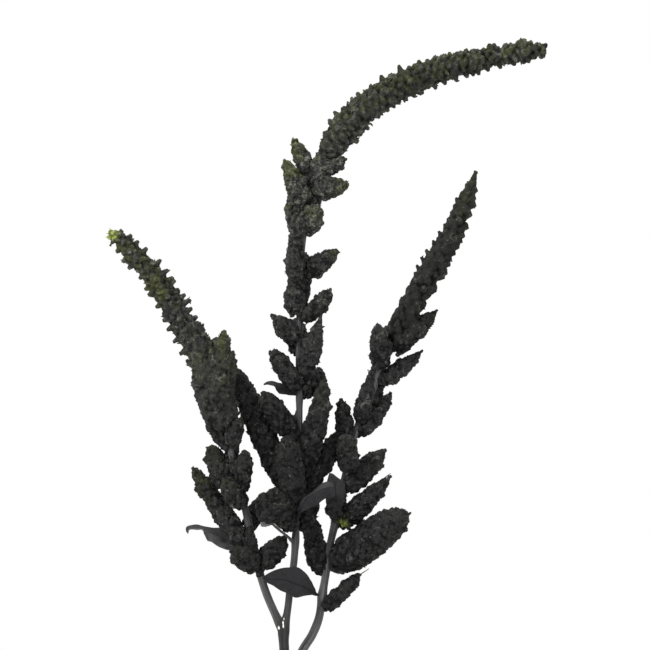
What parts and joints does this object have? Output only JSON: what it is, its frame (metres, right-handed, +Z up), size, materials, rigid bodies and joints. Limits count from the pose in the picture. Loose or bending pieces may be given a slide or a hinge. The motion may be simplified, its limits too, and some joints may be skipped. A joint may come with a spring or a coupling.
{
  "type": "dried amaranth in vase",
  "caption": "Black dried amaranth: long flower spikes, knobbly side heads and leaves on cut stems, standing in a plain stoneware bottle vase.",
  "frame": {"origin": "middle of the bottle's flat foot, on the surface that it stands on", "axes": "+Z up along the bottle's axis; the flowers face -Y and the longest spike leans to +X"},
  "size_m": [0.327, 0.1094, 0.7278],
  "materials": {
    "bottle": "matt stoneware",
    "stem": "dry, dull",
    "leaf": "dry, leathery",
    "head": "rough, dry florets"
  },
  "bodies": {
    "root": {"bottle": "bottle", "head_centre_01": "head", "head_centre_02": "head", "head_centre_03": "head", "head_centre_04": "head", "head_centre_05": "head", "head_centre_06": "head", "head_centre_07": "head", "head_centre_08": "head", "head_centre_09": "head", "head_centre_10": "head", "head_centre_11": "head", "head_centre_12": "head", "head_centre_13": "head", "head_centre_14": "head", "head_centre_15": "head", "head_centre_16": "head", "head_centre_17": "head", "head_centre_18": "head", "head_centre_19": "head", "head_centre_20": "head", "head_centre_21": "head", "head_centre_22": "head", "head_centre_23": "head", "head_left_01": "head", "head_left_02": "head", "head_left_03": "head", "head_left_04": "head", "head_left_05": "head", "head_left_06": "head", "head_left_07": "head", "head_left_08": "head", "head_left_09": "head", "head_right_01": "head", "head_right_02": "head", "head_right_03": "head", "head_right_04": "head", "head_right_05": "head", "head_right_06": "head", "head_right_07": "head", "head_right_08": "head", "head_right_09": "head", "head_right_10": "head", "head_right_11": "head", "head_right_12": "head", "head_right_13": "head", "head_right_14": "head", "leaf_left": "leaf", "leaf_low": "leaf", "leaf_middle": "leaf", "leaf_narrow": "leaf", "leaf_upright": "leaf", "spike_centre": "head", "spike_left": "head", "spike_right": "head", "stem_forked": "stem", "stem_right": "stem"}
  },
  "joints": []
}
